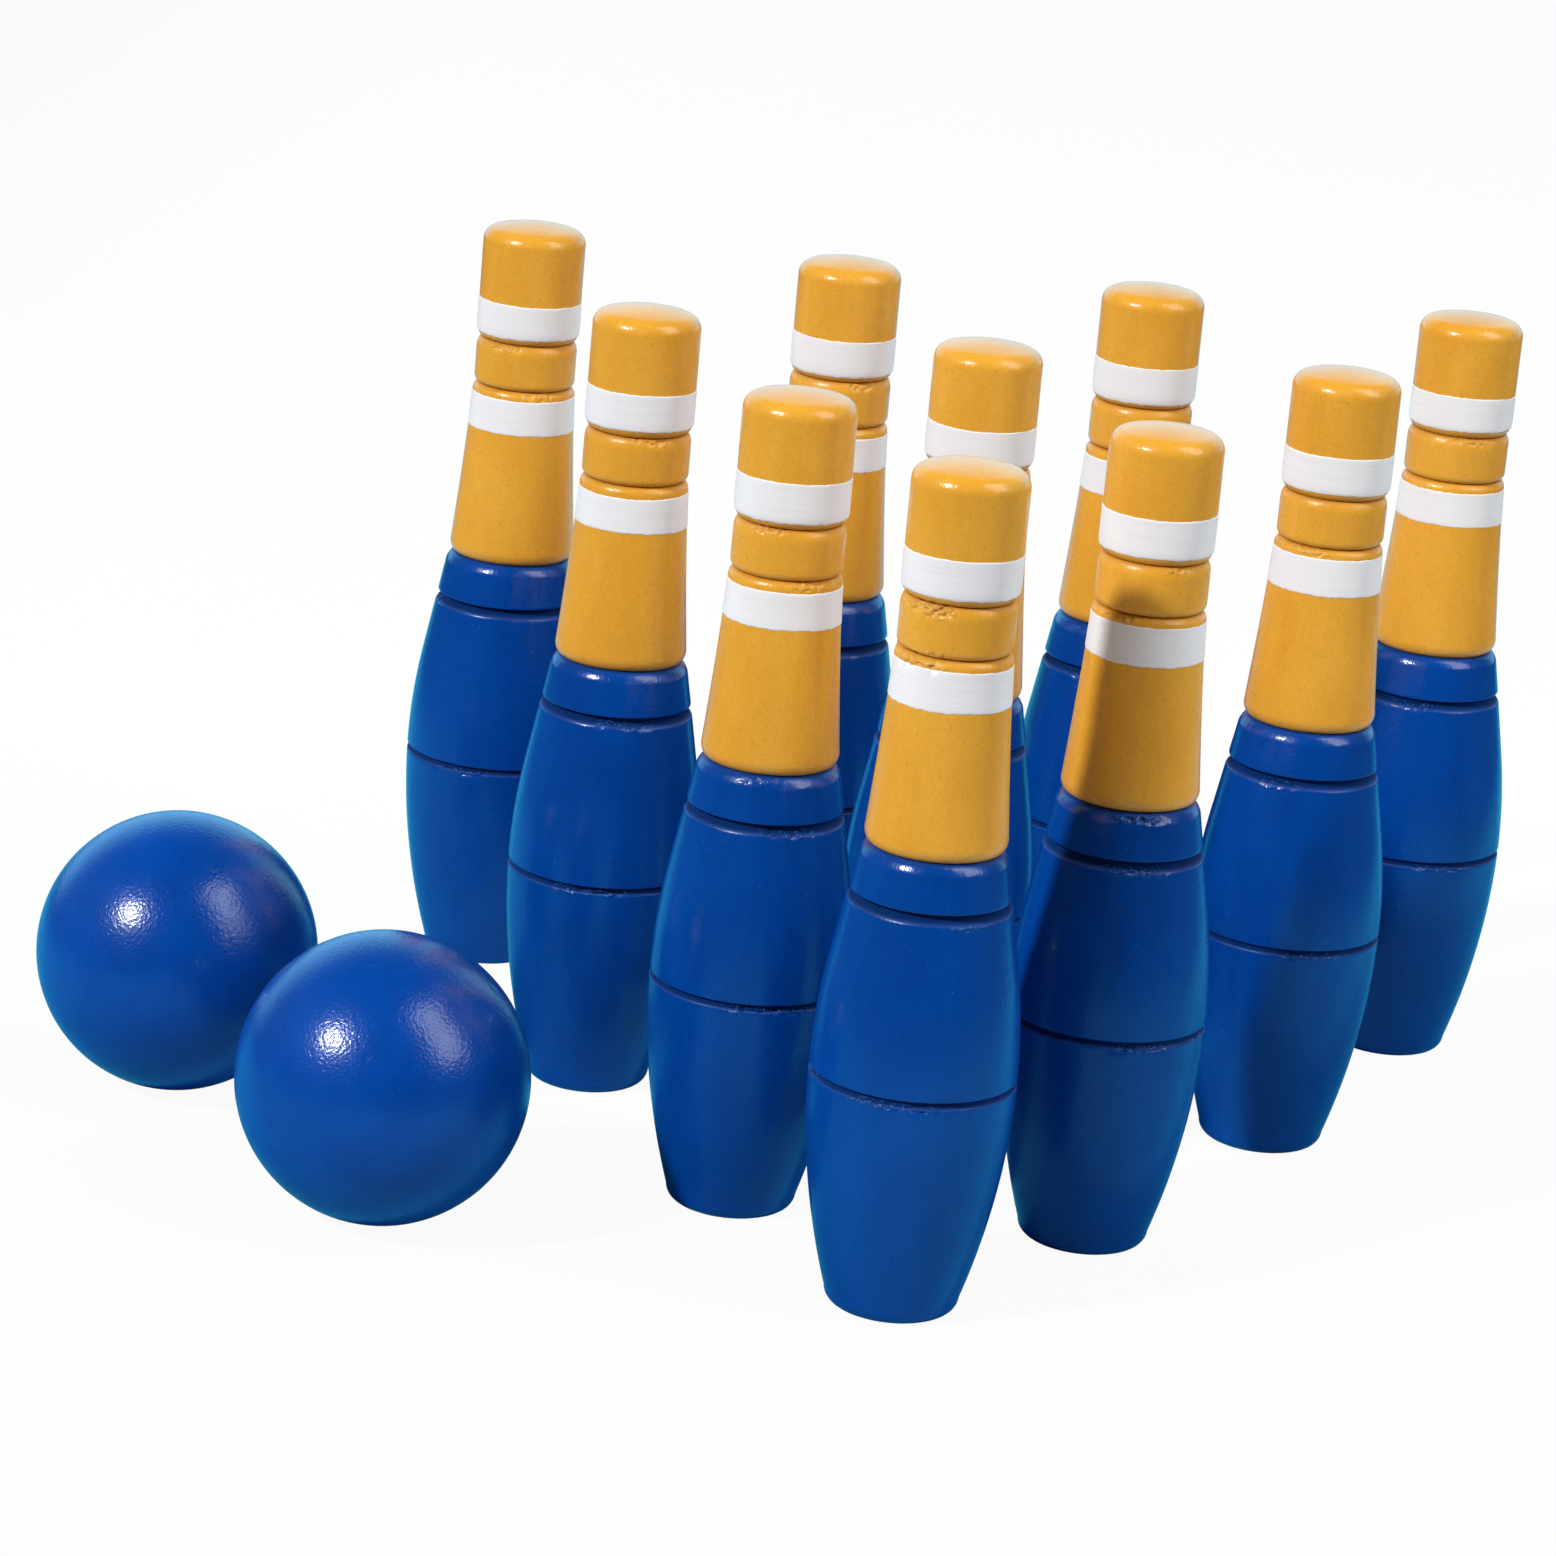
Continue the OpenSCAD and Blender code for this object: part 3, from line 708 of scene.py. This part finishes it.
# A ball turned between cup centres: a cube's grid blown up to a ball, with slight flats and small knocks
def ballMesh(name, middle, seed, look):
    rng = np.random.default_rng(seed)
    cuts = look["cuts"]
    grid = np.tan(np.linspace(-1, 1, cuts + 1) * math.pi / 4)
    index, points, faces = {}, [], []
    sides = [(0, 1, 2, 1), (0, 1, 2, -1), (1, 2, 0, 1), (1, 2, 0, -1), (2, 0, 1, 1), (2, 0, 1, -1)]
    for a, b, c, sign in sides:
        numbers = np.empty((cuts + 1, cuts + 1), int)
        for i in range(cuts + 1):
            for j in range(cuts + 1):
                key = [0, 0, 0]
                key[a], key[b], key[c] = i, j, cuts if sign > 0 else 0
                key = tuple(key)
                if key not in index:
                    index[key] = len(points)
                    points.append([grid[k] for k in key])
                numbers[i, j] = index[key]
        for i in range(cuts):
            for j in range(cuts):
                quad = (numbers[i, j], numbers[i + 1, j], numbers[i + 1, j + 1], numbers[i, j + 1])
                faces.append(quad if sign > 0 else quad[::-1])
    way = np.array(points)
    way /= np.linalg.norm(way, axis=1)[:, None]
    inward = np.full(len(way), look["waver"][0] + look["ripple"][0])
    for share, count, scale in (look["waver"], look["ripple"]):
        total = np.zeros(len(way))
        for _ in range(count):
            total += np.sin(way @ rng.normal(0, scale, 3) + rng.uniform(0, 2 * math.pi)) / count
        inward += share * total
    for _ in range(look["nicks"]):
        spot = rng.normal(0, 1, 3)
        spot /= np.linalg.norm(spot)
        away = np.linalg.norm(way - spot, axis=1) * look["radius"]
        inward += rng.uniform(*look["nickDeep"]) * np.exp(-(away / rng.uniform(*look["nickWide"])) ** 2)
    place = way * (look["radius"] - inward)[:, None] + np.array([middle[0], middle[1], look["radius"]])
    mesh = bpy.data.meshes.new(name)
    mesh.from_pydata((place * mm).tolist(), [], [tuple(int(v) for v in face) for face in faces])
    mesh.polygons.foreach_set("use_smooth", [True] * len(mesh.polygons))
    mesh.update()
    piece = bpy.data.objects.new(name, mesh)
    bpy.context.scene.collection.objects.link(piece)
    # the grain of a ball lies in some chance direction: its attribute is turned, not its mesh
    tilt = Vector(rng.normal(0, 1, 3)).to_track_quat("Z", "Y").to_matrix()
    grain = mesh.attributes.new("plankPlace", "FLOAT_VECTOR", "POINT")
    turned = (way * look["radius"]) @ np.array(tilt).T + np.array(look["pith"])
    grain.data.foreach_set("vector", turned.astype(np.float32).ravel())
    return piece


balls = (("ballLeft", "ball_left", "left_ball", 31), ("ballNear", "ball_near", "near_ball", 37))
for name, node, body, seed in balls:
    finish(ballMesh(name, middleOf(node), seed, turnedBall), ballEnamel, body, node)
print("balls turned and painted")


# White paper under and behind the set, a dim room in front and a dark ceiling. Levels are shares of white;
# "from" and "to" say how far toward the back (-1 to 1) the room starts to brighten and is brightest.
studio = {
    "floorHalf": 6.0, "pastFloor": 10.0, "floorWhite": 0.94,   # m, m, share of white
    "paper": "#D2D2D2", "paperBack": "#F4F4F4", "beyond": "#666666",
    "paperReach": (0.28, 0.6),   # m from the middle, where the paper fades into the room's darker floor
    "backFrom": (-0.12, 0.2),    # m toward the back, where the paper turns paler
    "lighting": {"from": -0.7, "to": 0.9, "front": 0.02, "back": 1.58},
    "mirrored": {"from": 0.42, "to": 0.8, "front": 0.03, "back": 1.8},
    "ceiling": 0.15, "ceilingFrom": (0.4, 0.8),
    # the photo's camera lost the red that the blue paint mirrors
    "mirroredPaper": "#44D8FF", "mirroredRoom": "#8CDCFF",
}


def studioFloor(look):
    half = look["floorHalf"]
    corners = [(-half, -half, 0), (half, -half, 0), (half, half, 0), (-half, half, 0)]
    mesh = bpy.data.meshes.new("studioFloor")
    mesh.from_pydata(corners, [], [(0, 1, 2, 3)])
    floor = bpy.data.objects.new("studioFloor", mesh)
    bpy.context.scene.collection.objects.link(floor)
    material = bpy.data.materials.new("whiteStudioPaper")
    material.use_nodes = True
    tree = material.node_tree
    tree.nodes.clear()

    def add(kind, settings):
        return addNode(tree, kind, settings)

    # the paper ends in front of the set and beside it, where the room's own floor is darker. It runs on
    # behind the set, so every place there counts as level with the middle.
    place = add("ShaderNodeNewGeometry", {}).outputs["Position"]
    pastFloor = look["pastFloor"]
    nearer = add("ShaderNodeVectorMath", {"operation": "MINIMUM", 0: place,
                                          1: (pastFloor, 0, pastFloor)}).outputs[0]
    away = add("ShaderNodeVectorMath", {"operation": "LENGTH", 0: nearer}).outputs["Value"]
    near, far = look["paperReach"]
    fade = add("ShaderNodeMapRange", {"interpolation_type": "SMOOTHSTEP", "Value": away, "From Min": near,
                                      "From Max": far}).outputs[0]
    apart = add("ShaderNodeSeparateXYZ", {0: place})
    backFrom, backTo = look["backFrom"]
    back = add("ShaderNodeMapRange", {"interpolation_type": "SMOOTHSTEP", "Value": apart.outputs["Y"],
                                      "From Min": backFrom, "From Max": backTo}).outputs[0]
    paperTone = add("ShaderNodeMix", {"data_type": "RGBA", 0: back, 6: linear(look["paper"]),
                                      7: linear(look["paperBack"])}).outputs[2]
    tone = add("ShaderNodeMix", {"data_type": "RGBA", 0: fade, 6: paperTone,
                                 7: linear(look["beyond"])}).outputs[2]
    path = add("ShaderNodeLightPath", {})
    tinted = add("ShaderNodeMix", {"data_type": "RGBA", "blend_type": "MULTIPLY",
                                   0: path.outputs["Is Glossy Ray"], 6: tone,
                                   7: linear(look["mirroredPaper"])}).outputs[2]
    paper = add("ShaderNodeBsdfDiffuse", {"Roughness": 0.6, "Color": tinted}).outputs[0]
    white = add("ShaderNodeEmission", {"Color": (1, 1, 1, 1), "Strength": 1.0}).outputs[0]
    share = add("ShaderNodeMath", {"operation": "MULTIPLY", 0: path.outputs["Is Camera Ray"],
                                   1: look["floorWhite"]}).outputs[0]
    mixed = add("ShaderNodeMixShader", {0: share, 1: paper, 2: white}).outputs[0]
    add("ShaderNodeOutputMaterial", {"Surface": mixed})
    floor.data.materials.append(material)


def studioWorld(look):
    world = bpy.data.worlds.new("studio")
    bpy.context.scene.world = world
    world.use_nodes = True
    tree = world.node_tree
    tree.nodes.clear()

    def add(kind, settings):
        return addNode(tree, kind, settings)

    way = add("ShaderNodeTexCoord", {}).outputs["Generated"]
    apart = add("ShaderNodeSeparateXYZ", {0: way})
    levels = []
    for part in (look["lighting"], look["mirrored"]):
        level = add("ShaderNodeMapRange", {"interpolation_type": "SMOOTHSTEP", "Value": apart.outputs["Y"],
                                           "From Min": part["from"], "From Max": part["to"],
                                           "To Min": part["front"], "To Max": part["back"]})
        levels.append(level.outputs[0])
    path = add("ShaderNodeLightPath", {})
    level = add("ShaderNodeMix", {"data_type": "FLOAT", 0: path.outputs["Is Glossy Ray"], 2: levels[0],
                                  3: levels[1]}).outputs[0]
    ceilingLow, ceilingHigh = look["ceilingFrom"]
    toCeiling = add("ShaderNodeMapRange", {"interpolation_type": "SMOOTHSTEP", "Value": apart.outputs["Z"],
                                           "From Min": ceilingLow, "From Max": ceilingHigh,
                                           "To Min": 1.0, "To Max": look["ceiling"]}).outputs[0]
    room = add("ShaderNodeMath", {"operation": "MULTIPLY", 0: level, 1: toCeiling}).outputs[0]
    seen = add("ShaderNodeMix", {"data_type": "FLOAT", 0: path.outputs["Is Camera Ray"], 2: room,
                                 3: 1.0}).outputs[0]
    tint = add("ShaderNodeMix", {"data_type": "RGBA", 0: path.outputs["Is Glossy Ray"], 6: (1, 1, 1, 1),
                                 7: linear(look["mirroredRoom"])}).outputs[2]
    back = add("ShaderNodeBackground", {"Color": tint, "Strength": seen}).outputs[0]
    add("ShaderNodeOutputWorld", {"Surface": back})


# direction is where the lamp stands, seen from the middle of the set
lamps = {
    "keyLamp": {"shape": "DISK", "direction": (-1.915, -1.785, 1.91), "distance": 3.24,
                "size": (0.245, 0.245), "radiance": 605.0},
    "fillLamp": {"shape": "RECTANGLE", "direction": (0.63, -0.30, 0.715), "distance": 1.5, "size": (0.7, 1.2),
                 "radiance": 4.6},
}
setMiddle = Vector((-0.03, -0.02, 0.09))


def addLamp(name, look):
    light = bpy.data.lights.new(name, "AREA")
    light.shape = look["shape"]
    light.size = look["size"][0]
    area = look["size"][0] ** 2 * math.pi / 4
    if look["shape"] == "RECTANGLE":
        light.size_y = look["size"][1]
        area = look["size"][0] * look["size"][1]
    light.energy = look["radiance"] * math.pi * area
    lamp = bpy.data.objects.new(name, light)
    way = Vector(look["direction"]).normalized()
    lamp.location = setMiddle + way * look["distance"]
    lamp.rotation_euler = way.to_track_quat("Z", "Y").to_euler()
    bpy.context.scene.collection.objects.link(lamp)


# matched to the photograph: a long lens from the front, a little above the set and slightly tipped
photoCamera = {
    "location": (0.0008, -1.3203, 0.4717),
    "rotation": (73.5876, -4.9611, 3.3145),
    "lens": 127.46, "sensor": 36.0,   # mm
    "reach": 50.0,                    # m
}


def addCamera(look):
    view = bpy.data.cameras.new("photoCamera")
    view.lens = look["lens"]
    view.sensor_width = look["sensor"]
    view.clip_end = look["reach"]
    camera = bpy.data.objects.new("photoCamera", view)
    camera.location = look["location"]
    camera.rotation_euler = [math.radians(a) for a in look["rotation"]]
    bpy.context.scene.collection.objects.link(camera)
    bpy.context.scene.camera = camera


studioFloor(studio)
studioWorld(studio)
for name, look in lamps.items():
    addLamp(name, look)
addCamera(photoCamera)
bpy.context.scene.view_settings.view_transform = "Standard"
print("studio set up")
